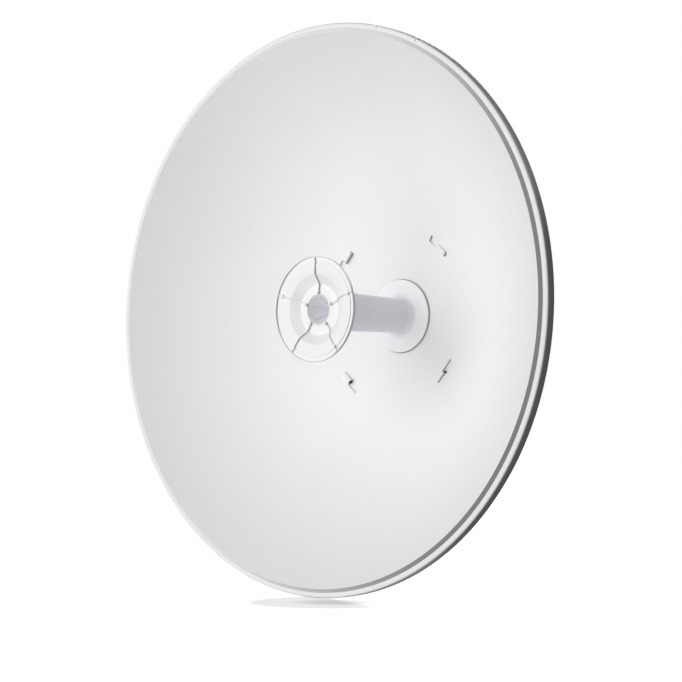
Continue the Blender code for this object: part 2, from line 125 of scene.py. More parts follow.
# %% [markdown]
# ## Light
# White paint shows its form only where the light differs from side to side. A photographer hangs a
# wide white cloth in front of such a dish, which lights the hollow nearly evenly. Here the cloth is
# a sky that is brightest in front and fades to the sides, and to the camera it is plain white. Three
# large soft lights stand before it, the strongest at the left, so that the cup throws a soft shadow
# and the right edge turns dark; shade painted on the valley and the skirt makes it darker still. Two
# more stand behind and show the mount.

# %% Light
bpy.context.scene.view_settings.view_transform = "Standard"
DISH_MIDDLE = Vector((0.0, -0.2, 0.0))
CLOTH_MIDDLE, CLOTH_SIDES = 1.07, 0.02


def soft_light(name, spot, size, watts):
    bpy.ops.object.light_add(type="AREA", location=spot)
    lamp = bpy.context.object
    lamp.name = name
    lamp.data.size = size
    lamp.data.energy = watts
    lamp.rotation_euler = (DISH_MIDDLE - Vector(spot)).to_track_quat("-Z", "Y").to_euler()
    return lamp


lamps = [soft_light("left_light", (-1.3, -2.8, 0.8), size=1.8, watts=24.5),
         soft_light("front_light", (0.2, -3.1, 0.5), size=1.8, watts=9.5),
         soft_light("low_light", (-0.6, -2.2, -1.4), size=1.8, watts=9),
         soft_light("rear_light", (-1.3, 2.2, 0.9), size=1.6, watts=60),
         soft_light("back_light", (-0.3, 2.6, 0.3), size=1.1, watts=15)]
room = bpy.data.worlds.new("studio")
bpy.context.scene.world = room
room.use_nodes = True
air = room.node_tree
cloth = air.nodes["Background"]
direction = Wire(air, air.nodes.new("ShaderNodeTexCoord").outputs["Generated"])
frontal = direction.along((0, -1, 0))
ahead = frontal.maths("MAXIMUM", frontal, 0.0)
air.links.new((ahead * ahead * CLOTH_MIDDLE + CLOTH_SIDES).socket, cloth.inputs["Strength"])
backdrop = air.nodes.new("ShaderNodeBackground")
for ground in (cloth, backdrop):
    ground.inputs["Color"].default_value = (1, 1, 1, 1)
ray = air.nodes.new("ShaderNodeLightPath")
choice = air.nodes.new("ShaderNodeMixShader")
air.links.new(ray.outputs["Is Camera Ray"], choice.inputs["Fac"])
air.links.new(cloth.outputs["Background"], choice.inputs[1])
air.links.new(backdrop.outputs["Background"], choice.inputs[2])
air.links.new(choice.outputs["Shader"], air.nodes["World Output"].inputs["Surface"])
print(len(lamps), "lights and a cloth")

# %% [markdown]
# ## Small tools for modelling
# A turned piece is drawn as on a lathe: a corner is extruded from point to point along the half
# section, and then spun round the dish's axis. A folded or cut plate is drawn as an outline, filled
# and extruded. A hole is a drum that is taken away. Nearly every piece here is made in these ways.

# %% Tools for selecting, drawing and spinning
NEAR = 0.000004


def only(ob):
    if bpy.context.object and bpy.context.object.mode != "OBJECT":
        bpy.ops.object.mode_set(mode="OBJECT")
    bpy.ops.object.select_all(action="DESELECT")
    if ob:
        ob.select_set(True)
        bpy.context.view_layer.objects.active = ob


def drop(*pieces):
    for piece in pieces:
        only(piece)
        bpy.ops.object.delete()


def edit_all(ob):
    only(ob)
    bpy.ops.object.mode_set(mode="EDIT")
    bpy.ops.mesh.select_all(action="SELECT")


def settle(ob, matrix=None):
    only(ob)
    if matrix:
        ob.matrix_world = matrix
    bpy.ops.object.transform_apply(location=True, rotation=True, scale=True)
    return ob


def draw(name, points, closed=True):
    only(None)
    bpy.ops.mesh.primitive_plane_add(size=0.01, location=points[0])
    ob = bpy.context.object
    ob.name = ob.data.name = name
    settle(ob)
    edit_all(ob)
    bpy.ops.mesh.merge(type="CENTER")
    line = points + points[:1] if closed else points
    for here, there in zip(line, line[1:]):
        step = Vector(there) - Vector(here)
        bpy.ops.mesh.extrude_region_move(TRANSFORM_OT_translate={"value": step})
    bpy.ops.mesh.select_all(action="SELECT")
    bpy.ops.mesh.remove_doubles(threshold=NEAR)
    return ob


def turned(name, section, steps, closed=True):
    ob = draw(name, [(radius, LIP + depth, 0) for radius, depth in section], closed)
    bpy.ops.mesh.select_all(action="SELECT")
    bpy.ops.mesh.spin(steps=steps, angle=2 * math.pi, center=(0, 0, 0), axis=(0, 1, 0))
    bpy.ops.mesh.select_all(action="SELECT")
    bpy.ops.mesh.remove_doubles(threshold=NEAR)
    bpy.ops.mesh.delete_loose()
    bpy.ops.mesh.select_all(action="SELECT")
    bpy.ops.mesh.normals_make_consistent(inside=False)
    only(ob)
    return ob


def cut_plate(name, outline, thickness, matrix):
    ob = draw(name, [(x, y, -thickness / 2) for x, y in outline])
    bpy.ops.mesh.select_all(action="SELECT")
    bpy.ops.mesh.edge_face_add()
    bpy.ops.mesh.extrude_region_move(TRANSFORM_OT_translate={"value": (0, 0, thickness)})
    bpy.ops.mesh.select_all(action="SELECT")
    bpy.ops.mesh.normals_make_consistent(inside=False)
    return settle(ob, matrix)


test_ring = turned("test_ring", [(0.1, 0.0), (0.2, 0.0), (0.2, 0.01), (0.1, 0.01)], 24)
print("a spun ring has", len(test_ring.data.polygons), "faces")
drop(test_ring)

# %% Tools for blocks, drums, joins and soft edges
def block(name, size, matrix, radius=0.0):
    only(None)
    bpy.ops.mesh.primitive_cube_add(size=1, scale=size)
    ob = bpy.context.object
    ob.name = ob.data.name = name
    settle(ob)
    if radius:
        edit_all(ob)
        bpy.ops.mesh.bevel(offset=radius, segments=3, affect="EDGES")
    return settle(ob, matrix)


def drum(name, start, end, radius, sides):
    start, end = Vector(start), Vector(end)
    only(None)
    bpy.ops.mesh.primitive_cone_add(vertices=sides, radius1=radius, radius2=radius,
                                    depth=(end - start).length)
    ob = bpy.context.object
    ob.name = ob.data.name = name
    turn = (end - start).to_track_quat("Z", "Y").to_matrix().to_4x4()
    return settle(ob, Matrix.Translation((start + end) / 2) @ turn)


def melt(pieces):
    only(pieces[0])
    for piece in pieces:
        piece.select_set(True)
    bpy.ops.object.join()
    return bpy.context.object


def apply_modifier(ob, kind, **settings):
    only(ob)
    step = ob.modifiers.new(kind.lower(), kind)
    for word, value in settings.items():
        setattr(step, word, value)
    bpy.ops.object.modifier_apply(modifier=step.name)
    return ob


def combine(ob, tool, operation):
    apply_modifier(ob, "BOOLEAN", object=tool, operation=operation, solver="EXACT")
    drop(tool)
    edit_all(ob)
    bpy.ops.mesh.remove_doubles(threshold=NEAR)
    only(ob)
    return ob


def add(ob, tool):
    return combine(ob, tool, "UNION")


def take(ob, tool):
    return combine(ob, tool, "DIFFERENCE")


def soft_edges(ob, width, angle):
    return apply_modifier(ob, "BEVEL", width=width, segments=2, limit_method="ANGLE",
                          angle_limit=math.radians(angle))


def twin(ob, name, matrix):
    only(ob)
    bpy.ops.object.duplicate(linked=False)
    other = bpy.context.object
    other.name = other.data.name = name
    return settle(other, matrix)


def around(radius, angle, depth):
    a = math.radians(angle)
    return Vector((radius * math.cos(a), LIP + depth, radius * math.sin(a)))


def roll_about_axis(angle):
    return Matrix.Rotation(-math.radians(angle), 4, "Y")


print("tools ready")

# %% [markdown]
# ## Finishes
# A finish is a small web of nodes that feeds one shader. Every pattern reads Object coordinates, so it
# has the same grain on a large piece and on a small one. Two darker tones of painted shade read the
# normal in the object's own frame as well, which keeps them on walls that look to one side.

# %% Patterns and the finish itself
def noise(place, scale, detail=2.0):
    return place.node("ShaderNodeTexNoise", None, {"Vector": place, "Scale": scale, "Detail": detail})


def ridge(value, zero, one):
    ends = {1: zero, 2: one, 3: 0.0, 4: 1.0} if zero < one else {1: one, 2: zero, 3: 1.0, 4: 0.0}
    return value.node("ShaderNodeMapRange", {"interpolation_type": "SMOOTHSTEP"}, {0: value, **ends})


def colour(value):
    return (*value, 1.0) if isinstance(value, tuple) else value


def blend(mask, first, second):
    return mask.node("ShaderNodeMix", {"data_type": "RGBA"},
                     {"Factor": mask, 6: colour(first), 7: colour(second)}, out=2)


def off_axis(place):
    flat = place.node("ShaderNodeVectorMath", {"operation": "MULTIPLY"}, {0: place, 1: (1, 0, 1)})
    return flat.node("ShaderNodeVectorMath", {"operation": "LENGTH"}, {0: flat}, out=1)


def bumped(height, depth):
    return height.node("ShaderNodeBump", None, {"Height": height, "Distance": depth, "Strength": 1.0})


class Finish:
    def __init__(self, name, metallic=0.0):
        self.material = bpy.data.materials.new(name)
        self.material.use_nodes = True
        tree = self.material.node_tree
        self.shader = tree.nodes["Principled BSDF"]
        here = tree.nodes.new("ShaderNodeTexCoord").outputs
        self.place, self.facing = Wire(tree, here["Object"]), Wire(tree, here["Normal"])
        self.shader.inputs["Metallic"].default_value = metallic

    def feed(self, **wires):
        for word, wire in wires.items():
            socket = self.shader.inputs[word.replace("_", " ")]
            self.place.tree.links.new(wire.socket, socket)
        return self.material


print("finishes can be mixed")

# %% [markdown]
# ### White powder coat
# The dish and its bracket are powder coated: plastic dust is sprayed on and baked, which leaves a
# faint orange peel. The colour is nearly even, so the noise moves it by a hundredth or two, and the
# gloss wanders a little more than the colour does. Seen in the photograph's light, the faces that
# slope to the lower right lie in more shade than these soft lights can give them. A grayer tone in
# the finish stands in for it, in the valley beside the lip, on the skirt and on the lugs' walls.

# %% Painted finishes
LIP_R = 0.3144
RIM_R = 0.3250
DISH_DEPTH = 0.1580
FOCAL = LIP_R ** 2 / (4 * DISH_DEPTH)
# Painted shade: faces that look to this side, right and a little down, are painted grayer with the grays
# below.
SHADED_SIDE_ANGLE = math.radians(17)
SHADED_SIDE = Vector((math.cos(SHADED_SIDE_ANGLE), 0, -math.sin(SHADED_SIDE_ANGLE)))
VALLEY_PAINTED_SHADE = (0.232, 0.236, 0.240)
SKIRT_PAINTED_SHADE = (0.415, 0.420, 0.425)
LUG_WALL_PAINTED_SHADE = (0.25, 0.25, 0.26)


def powder_coat(name, shade, shadow, peel, painted_shade=None):
    finish = Finish(name)
    cloud = noise(finish.place, 7.0, 3.0)
    grain = noise(finish.place, peel, 2.0)
    finish.shader.inputs["IOR"].default_value = 1.46
    paint = blend(ridge(cloud, 0.3, 0.7), shade, shadow)
    return finish.feed(Base_Color=painted_shade(finish, paint) if painted_shade else paint,
                       Roughness=0.40 + 0.10 * cloud + 0.06 * grain, Normal=bumped(grain, 0.00006))


# Painted shade: the valley beside the lip and the skirt turn gray on the lower right side, and so do the
# lugs' walls that face that way.
def rim_painted_shade(finish, paint):
    place = finish.place
    radius = off_axis(place)
    side = place.along(SHADED_SIDE / RIM_R) + 0.06 * noise(place, 30.0)
    depth = place.along((0, 1, 0)) - LIP
    valley = ridge(radius, LIP_R + 0.0001, LIP_R + 0.0007) * ridge(radius, LIP_R + 0.0050, LIP_R + 0.0042)
    valley = valley * ridge(depth, 0.0034, 0.0026) * ridge(side, -0.2, 0.95)
    skirt_shade = ridge(radius, RIM_R - 0.0008, RIM_R - 0.0001) * ridge(side, 0.75, 0.93)
    height = DISH_DEPTH - radius * radius * (1 / (4 * FOCAL)) - depth
    wall_shade = ridge(height, 0.0003, 0.0009) + ridge(height, -0.0003, -0.0008)
    wall_shade = wall_shade * ridge(radius, 0.125, 0.120) * ridge(radius, 0.080, 0.085)
    wall_shade = wall_shade * ridge(finish.facing.along(SHADED_SIDE), 0.25, 0.60)
    paint = blend(valley, paint, VALLEY_PAINTED_SHADE)
    return blend(wall_shade, blend(skirt_shade, paint, SKIRT_PAINTED_SHADE), LUG_WALL_PAINTED_SHADE)


dish_paint = powder_coat("dish_white", (0.865, 0.868, 0.868), (0.850, 0.855, 0.856), 620.0, rim_painted_shade)
mount_paint = powder_coat("mount_white", (0.80, 0.81, 0.82), (0.77, 0.785, 0.80), 480.0)
print(dish_paint.name, mount_paint.name)


# %% [markdown]
# ### Moulded plastics
# The cup is bright white plastic, and the tube behind it is the same resin with a violet tinge.
# Moulded skin is smoother than paint, with a very fine etched texture from the steel mould. Shade is
# painted on the cup's walls that look to the lower right, as a grayer tone, and on the foot's fillet
# where the tube meets it, as a violet gray.

# %% Moulded finishes
# Painted shade: gray for the cup's walls, and violet gray for the foot's fillet where the tube shades it.
CUP_WALL_PAINTED_SHADE = (0.42, 0.42, 0.43)
FILLET_SHADE_VIOLET = (0.75, 0.75, 0.79)


def moulded(name, shade, shadow, roughness, texture, painted_shade=None):
    finish = Finish(name)
    cloud = noise(finish.place, 22.0, 2.0)
    etched = noise(finish.place, texture, 3.0)
    resin = blend(ridge(cloud, 0.25, 0.75), shade, shadow)
    return finish.feed(Base_Color=painted_shade(finish, resin) if painted_shade else resin,
                       Roughness=roughness + 0.08 * etched, Normal=bumped(etched, 0.00003))


# Painted shade: the cup's walls that look to the lower right turn gray.
def cup_wall_painted_shade(finish, resin):
    return blend(ridge(finish.facing.along(SHADED_SIDE), 0.45, 0.90), resin, CUP_WALL_PAINTED_SHADE)


# Painted shade: the fillet round the foot of the tube turns violet gray.
def fillet_painted_shade(finish, resin):
    return blend(ridge(off_axis(finish.place), 0.0280, 0.0215), resin, FILLET_SHADE_VIOLET)


cup_white = moulded("cup_white", (0.89, 0.89, 0.895), (0.875, 0.875, 0.882), 0.34, 1500.0, cup_wall_painted_shade)
foot_white = moulded("foot_white", (0.915, 0.910, 0.930), (0.90, 0.896, 0.918), 0.38, 1300.0, fillet_painted_shade)
tube_violet = moulded("tube_violet", (0.700, 0.700, 0.745), (0.680, 0.682, 0.732), 0.38, 1300.0)
cone_violet = moulded("cone_violet", (0.760, 0.755, 0.790), (0.730, 0.728, 0.768), 0.42, 1300.0)
housing_white = moulded("housing_white", (0.80, 0.80, 0.80), (0.77, 0.775, 0.78), 0.42, 900.0)
print(cup_white.name, foot_white.name, tube_violet.name, cone_violet.name, housing_white.name)

# %% [markdown]
# ### Rubber, zinc and gold
# The gasket is matt rubber. Zinc plate has a soft shine with cloudy patches, so its noise feeds the
# roughness most. The sockets are gold plated over brass and stay bright, because plating is what
# keeps their contacts clean.

# %% Rubber and metals
def rubber(name, shade, dust):
    finish = Finish(name)
    grain = noise(finish.place, 800.0, 3.0)
    return finish.feed(Base_Color=blend(ridge(grain, 0.4, 0.8), shade, dust),
                       Roughness=0.62 + 0.2 * grain, Normal=bumped(grain, 0.00008))


def plated(name, shade, cloudy, roughness, cloud_scale):
    finish = Finish(name, metallic=1.0)
    cloud = noise(finish.place, cloud_scale, 4.0)
    fine = noise(finish.place, 2200.0, 2.0)
    return finish.feed(Base_Color=blend(ridge(cloud, 0.35, 0.7), shade, cloudy),
                       Roughness=roughness + 0.22 * cloud, Normal=bumped(fine, 0.00002))


gasket_gray = rubber("gasket_gray", (0.28, 0.28, 0.29), (0.36, 0.36, 0.37))
zinc_bright = plated("zinc_bright", (0.72, 0.73, 0.75), (0.58, 0.60, 0.63), 0.24, 160.0)
zinc_clamp = plated("zinc_clamp", (0.66, 0.67, 0.69), (0.52, 0.54, 0.57), 0.34, 60.0)
gold_plate = plated("gold_plate", (0.86, 0.68, 0.34), (0.78, 0.60, 0.28), 0.18, 220.0)
print(gasket_gray.name, zinc_bright.name, zinc_clamp.name, gold_plate.name)


# %% Handing a piece over
def hand_over(ob, material, slot, *replaced, angle=32):
    only(ob)
    bpy.ops.object.shade_smooth_by_angle(angle=math.radians(angle))
    ob.data.materials.clear()
    ob.data.materials.append(material)
    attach(ob, "root")
    if replaced:
        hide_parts(*replaced)
    print(ob.name, sum(len(face.vertices) - 2 for face in ob.data.polygons), "triangles")
    return ob


# %% [markdown]
# ## The dish
# The real dish is one sheet of metal, spun or pressed to a paraboloid, with a sloping valley round its
# lip, a flat flange and a skirt turned back to stiffen the edge. A paraboloid sends every wave that comes
# along the axis to one point, so its curve is worked out and not drawn. It is spun with many steps,
# because a facet on white paint shows at once.

# %% Dish shell
SHEET = 0.0015
SEAT_R = 0.0450
DISH_BORE = 0.0240
SKIRT_END = 0.0140
CURVE_START, CURVE_END, BACK_END = 0.050, 0.3125, 0.305


def bowl(radius):
    return DISH_DEPTH - radius ** 2 / (4 * FOCAL)


def bowl_back(radius):
    return bowl(radius) + SHEET * math.sqrt(1 + (radius / (2 * FOCAL)) ** 2)


def curve(depth_at, first, last, steps):
    radii = [first + (last - first) * i / steps for i in range(steps + 1)]
    return [(radius, depth_at(radius)) for radius in radii]


seat = bowl(SEAT_R)
lip = [(-0.0006, 0.0007), (-0.0002, 0.0002), (0.0001, 0.0000), (0.0005, 0.0001), (0.0009, 0.0003)]
valley = [(0.0043, 0.0022), (0.0047, 0.0024)]
flat_rim = [(0.0052, 0.0025), (0.0086, 0.0028), (0.0094, 0.0031), (0.0100, 0.0036)]
valley_back = [(0.0080, 0.0043), (0.0044, 0.0040), (0.0036, 0.0037), (0.0008, 0.0022), (-0.0004, 0.0024)]
front = [(DISH_BORE, seat), (SEAT_R - 0.0010, seat), (SEAT_R + 0.0010, bowl(SEAT_R + 0.0015))]
front += curve(bowl, CURVE_START, CURVE_END, 34)
front += [(LIP_R + out, depth) for out, depth in lip + valley + flat_rim]
front += [(RIM_R - 0.0002, 0.0043), (RIM_R, 0.0052), (RIM_R, SKIRT_END - 0.0003)]
behind = [(RIM_R - 0.0003, SKIRT_END), (RIM_R - SHEET, SKIRT_END), (RIM_R - SHEET, 0.0057),
          (RIM_R - SHEET - 0.0006, 0.0048)]
behind += [(LIP_R + out, depth) for out, depth in valley_back]
behind += curve(bowl_back, BACK_END, CURVE_START, 20)
behind += [(SEAT_R, seat + SHEET), (DISH_BORE, seat + SHEET)]
dish = turned("dish_shell", front + behind, 240)
print("focal length", round(FOCAL, 4), "m")

# %% [markdown]
# ### Four turned lugs
# Hooks of the mount behind catch in four places where the sheet is slit: on one side of the slit it
# is pressed back into a shallow pocket, on the other it is pressed forward into a hollow bump. Each
# is a block with rounded edges that is joined to the sheet and then hollowed by a smaller block.

# %% Lugs, drains and screw holes
LUG_R = 0.1040
LUG_ANGLES = [51 + 90 * i for i in range(4)]
LUG_WALL = 0.0011
POCKET = Vector((0.0175, 0.0117, 0.0024))
BUMP = Vector((0.0176, 0.0068, 0.0042))
OVERSHOOT = 0.0020
DRAIN_CIRCLE, DRAIN_ANGLES = 0.3222, (75.7, 64.9)
SCREW_CIRCLE, SCREW_HOLE_R = 0.0315, 0.0024
SCREW_ANGLES = [45 + 90 * i for i in range(4)]


def lug_place(angle):
    clockwise = around(1, angle - 90, -LIP)
    outward = (around(1, angle, -LIP) + Vector((0, -LUG_R / (2 * FOCAL), 0))).normalized()
    place = Matrix((clockwise, outward, clockwise.cross(outward))).transposed().to_4x4()
    place.translation = around(LUG_R, angle, bowl(LUG_R) + SHEET / 2)
    return place


def lug_blocks(size, shift, radius, word):
    return melt([block(f"{word}_{i}", size, lug_place(angle) @ Matrix.Translation(shift), radius)
                 for i, angle in enumerate(LUG_ANGLES)])


def screw_holes(name, start, end):
    return [drum(name, around(SCREW_CIRCLE, angle, start), around(SCREW_CIRCLE, angle, end),
                 SCREW_HOLE_R, 20) for angle in SCREW_ANGLES]


past, clear = 0.001, 0.005
add(dish, lug_blocks(POCKET, (-POCKET.x / 2, 0, -POCKET.z / 2), 0.0007, "pocket"))
add(dish, lug_blocks(BUMP, (BUMP.x / 2 - OVERSHOOT, 0, BUMP.z / 2), 0.0017, "bump"))
hollow = Vector((BUMP.x - OVERSHOOT - LUG_WALL + past, BUMP.y - 2 * LUG_WALL, BUMP.z - LUG_WALL + clear))
take(dish, lug_blocks(hollow, (hollow.x / 2 - past, 0, hollow.z / 2 - clear), 0.0009, "bump_hollow"))
hollow = Vector((POCKET.x - LUG_WALL, POCKET.y - 2 * LUG_WALL, POCKET.z - LUG_WALL + clear))
take(dish, lug_blocks(hollow, (-hollow.x / 2, 0, clear - hollow.z / 2), 0.0003, "pocket_hollow"))
drains = [drum("drain", around(DRAIN_CIRCLE, angle, -0.01), around(DRAIN_CIRCLE, angle, 0.012), 0.0014, 20)
          for angle in DRAIN_ANGLES]
take(dish, melt(drains + screw_holes("screw_hole", seat - 0.01, seat + 0.01)))
hand_over(dish, dish_paint, "white_paint", "reflector", angle=28)

# %% [markdown]
# ## The feed
# In the middle of the dish stands the feed: a cup in front that throws the waves back, a tube that
# carries them, and a foot that seats on a gasket. The cup is a shallow stepped plate with a low rim;
# five ribs with small bosses at their ends keep it flat. One rib is modelled and copied.

# %% Cup
CUP_R = 0.0604
cup = turned("feed_cup_face", [
    (CUP_R - 0.0004, 0.0017), (CUP_R, 0.0021), (CUP_R, 0.0050), (CUP_R - 0.0010, 0.0060),
    (0.0424, 0.0066), (0.0326, 0.0150), (0.0306, 0.0163), (0.0250, 0.0188), (0.0240, 0.0200),
    (0.0188, 0.0200), (0.0188, 0.0122), (0.0170, 0.0122), (0.0170, 0.0103), (0.0173, 0.0098),
    (0.0180, 0.0096), (0.0282, 0.0114), (0.0290, 0.0114), (0.0299, 0.0109), (0.0392, 0.0042),
    (0.0400, 0.0038), (0.0410, 0.0036), (0.0542, 0.0028), (0.0549, 0.0029), (0.0552, 0.0036),
    (0.0590, 0.0036), (0.0594, 0.0033), (0.0596, 0.0020), (0.0598, 0.0017)], 180)
RIB = [(0.0592, 0.0020), (0.0560, 0.0013), (0.0412, 0.0013), (0.0388, 0.0022), (0.0302, 0.0084),
       (0.0270, 0.0088), (0.0200, 0.0074), (0.0172, 0.0076), (0.0172, 0.0112), (0.0285, 0.0132),
       (0.0312, 0.0124), (0.0400, 0.0055), (0.0420, 0.0048), (0.0592, 0.0048)]
RIB_ANGLES = [20 + 72 * i for i in range(5)]
FLAT = Matrix.Translation((0, LIP, 0))


def pin(name, radius, start, end, half_width):
    ob = drum(name, around(radius, 0, start), around(radius, 0, end), half_width, 20)
    return soft_edges(ob, 0.0006, 60)


rib = soft_edges(cut_plate("rib", RIB, 0.0018, FLAT), 0.0004, 60)
boss = pin("boss", 0.0530, 0.0050, 0.0009, 0.0024)
inner = pin("inner", 0.0200, 0.0125, 0.0068, 0.0021)
add(rib, boss)
add(rib, inner)
for i, angle in enumerate(RIB_ANGLES):
    add(cup, twin(rib, f"rib_{i}", roll_about_axis(angle)))
drop(rib)
hand_over(cup, cup_white, "cup_plastic", "feed_cup")

# %% [markdown]
# ### Cone, tube, foot and gasket
# Behind the hole in the cup a cone tapers to a blind tip, and a fin runs down it in line with each
# rib. The tube is drawn down a little towards the foot, so that it leaves the mould easily, and it
# runs into the foot with a fillet, which a turned section gives exactly.

# %% Cone
MOUTH = Vector((0.0156, 0.0108))
TIP = Vector((0.0012, 0.0346))
cone = turned("feed_cone", [
    (0.0, TIP.y + 0.0006), (TIP.x, TIP.y), (MOUTH.x, MOUTH.y), (0.0158, 0.0105), (0.0166, 0.0105),
    (0.0167, 0.0125), (0.0185, 0.0125), (0.0185, 0.0145), (0.0030, 0.0378), (0.0, 0.0378)], 96, closed=False)
FIN = [(0.0144, 0.0112), (0.0017, 0.0326), (0.0027, 0.0332), (0.0156, 0.0120)]
for i, angle in enumerate(RIB_ANGLES):
    add(cone, cut_plate(f"fin_{i}", FIN, 0.0010, roll_about_axis(angle) @ FLAT))
hand_over(cone, cone_violet, "tube_plastic", "feed_throat")

# %% Tube, foot and gasket
GAP = 0.0003
gasket_top = seat - GAP - 0.0008
foot_back = gasket_top - GAP
foot = foot_back - 0.0030
collar = foot - 0.0070
TUBE_CUP_R = 0.0233
TUBE_FOOT_R = 0.0203
FILLET_R, FILLET_H = 0.0046, 0.0058
tube = turned("feed_tube_shell", [
    (TUBE_CUP_R - 0.0022, 0.0203), (TUBE_CUP_R - 0.0003, 0.0203), (TUBE_CUP_R, 0.0206),
    (TUBE_FOOT_R, collar - GAP), (TUBE_FOOT_R - 0.0022, collar - GAP)], 128)
hand_over(tube, tube_violet, "tube_plastic", "feed_tube")
bend = []
for degrees in range(0, 91, 10):
    a = math.radians(degrees)
    bend.append((TUBE_FOOT_R + FILLET_R * (1 - math.cos(a)), foot - FILLET_H * (1 - math.sin(a))))
flange = turned("feed_foot", [(0.0181, collar), (TUBE_FOOT_R, collar)] + bend + [
    (0.0418, foot + 0.0001), (0.0427, foot + 0.0003), (0.0432, foot + 0.0008), (0.0433, foot + 0.0014),
    (0.0433, foot_back - 0.0002), (0.0431, foot_back), (0.0181, foot_back)], 160)
take(flange, melt(screw_holes("foot_hole", foot + 0.0010, foot_back + 0.01)))
hand_over(flange, foot_white, "tube_plastic", "feed_flange")
gasket = turned("feed_gasket_ring", [
    (0.0340, gasket_top), (0.0440, gasket_top), (0.0442, gasket_top + 0.0002), (0.0442, seat - GAP - 0.0002),
    (0.0440, seat - GAP), (0.0340, seat - GAP)], 128)
hand_over(gasket, gasket_gray, "gasket_rubber", "feed_gasket")

# %% [markdown]
# ## Behind the dish
# The rest is only seen from the side and from behind. The feed's round housing closes the tube at the
# back; twelve moulded ribs keep its wall stiff. Its two sockets, one for each polarisation, have a hex
# base, a threaded barrel, a white insulator and a gold contact in the middle.

# %% Housing
def lathe(name, section, steps):
    return turned(name, [(radius, depth - LIP) for radius, depth in section], steps, closed=False)


def thread(name, start, end, radius, pitch, sides):
    turns = int((end - start) / pitch)
    grooves = [(radius - 0.6 * pitch * (i % 2), start + pitch * i / 2) for i in range(2 * turns + 1)]
    return lathe(name, [(0, start), (radius - 0.5 * pitch, start)] + grooves + [
        (radius - 0.6 * pitch, start + turns * pitch + 0.0004), (0, start + turns * pitch + 0.0004)], sides)


housing = seat + SHEET + GAP
flange_end = housing + 0.0040
HOUSING_END = 0.2040
body = turned("feed_housing_body", [
    (0, housing), (0.0360, housing), (0.0365, housing + 0.0005), (0.0365, flange_end - 0.0006),
    (0.0359, flange_end), (0.0282, flange_end), (0.0268, flange_end + 0.0012),
    (0.0258, flange_end + 0.0034), (0.0250, HOUSING_END - 0.0022), (0.0245, HOUSING_END - 0.0006),
    (0.0236, HOUSING_END), (0.0216, HOUSING_END), (0.0208, HOUSING_END - 0.0008),
    (0, HOUSING_END - 0.0008)], 96, closed=False)
BODY_RIB = [(0.0240, flange_end - 0.0006), (0.0300, flange_end - 0.0006), (0.0300, flange_end + 0.0006),
            (0.0268, flange_end + 0.0050), (0.0259, HOUSING_END - 0.0060), (0.0240, HOUSING_END - 0.0040)]
body_rib = soft_edges(cut_plate("body_rib", BODY_RIB, 0.0016, FLAT), 0.0003, 60)
add(body, melt([twin(body_rib, f"body_rib_{i}", roll_about_axis(30 * i)) for i in range(12)]))
drop(body_rib)
take(body, melt(screw_holes("body_hole", housing - 0.01, flange_end + 0.002)))
hand_over(body, housing_white, "housing_plastic", "feed_housing")


# %% Sockets and feed screws
def rear_spot(x, depth, z, angle=0):
    return Matrix.Translation((x, LIP + depth, z)) @ Matrix.Rotation(math.radians(angle), 4, "Z")


def hexagon(name, start, end, radius, chamfered_end):
    ob = drum(name, (0, start, 0), (0, end, 0), radius, 6)
    edge, past_end = 0.3 * (end - start), 0.001
    slim, wide = radius * 0.86, radius * 1.1
    if chamfered_end == start:
        high = end + past_end
        cone = [(0, start), (slim, start), (wide, start + edge), (wide, high), (0, high)]
    else:
        low = start - past_end
        cone = [(0, low), (wide, low), (wide, end - edge), (slim, end), (0, end)]
    return combine(ob, lathe("chamfer", cone, 48), "INTERSECT")


PORT_X = 0.0130
socket = HOUSING_END + GAP
port = hexagon("port", 0, 0.0022, 0.0070, 0.0022)
add(port, lathe("neck", [(0, 0.0010), (0.0042, 0.0010), (0.0042, 0.0036), (0, 0.0036)], 32))
add(port, thread("port_thread", 0.0032, 0.0124, 0.0048, 0.0008, 32))
take(port, lathe("port_bore", [
    (0, 0.0060), (0.0033, 0.0060), (0.0034, 0.0122), (0.0040, 0.0132), (0, 0.0132)], 32))
insulator = lathe("insulator", [
    (0, 0.0055), (0.0030, 0.0055), (0.0030, 0.0085), (0.0026, 0.0089), (0, 0.0089)], 32)
contact = lathe("contact", [
    (0, 0.0080), (0.0008, 0.0080), (0.0008, 0.0108), (0.0005, 0.0112), (0, 0.0112)], 16)
for i, x in enumerate((-PORT_X, PORT_X)):
    place = rear_spot(x, socket, 0)
    hand_over(twin(port, f"port_shell_{i + 1}", place), gold_plate, "port_brass", f"rf_port_{i + 1}")
    hand_over(twin(insulator, f"port_insulator_{i + 1}", place), cup_white, "port_brass")
    hand_over(twin(contact, f"port_contact_{i + 1}", place), gold_plate, "port_brass")
tail = flange_end + GAP - foot - 0.0016
screw = lathe("screw", [
    (0, -tail), (0.0016, -tail), (0.0020, 0.0005 - tail), (0.0020, 0), (0.0034, 0), (0.0036, 0.0002),
    (0.0036, 0.0008), (0.0031, 0.0018), (0.0020, 0.0024), (0, 0.0024)], 32)
for angle in (45, 135):
    turn = Matrix.Rotation(math.radians(angle), 4, "Y")
    take(screw, block("recess", (0.0040, 0.0024, 0.0009), Matrix.Translation((0, 0.0024, 0)) @ turn))
for i, angle in enumerate(SCREW_ANGLES):
    turn = Matrix.Rotation(math.radians(i * 37), 4, "Y")
    place = Matrix.Translation(around(SCREW_CIRCLE, angle, flange_end + GAP)) @ turn
    hand_over(twin(screw, f"cross_screw_{i + 1}", place), zinc_bright, "zinc", f"feed_screw_{i + 1}")
drop(port, insulator, contact, screw)

# %% [markdown]
# ### Hub plate and its hooks
# A pressed hub plate is given a small turn, so that its four hooks catch in the lugs. Its sloping
# skirt makes it stiff and ends in a flat ring that rests on the dish's back.

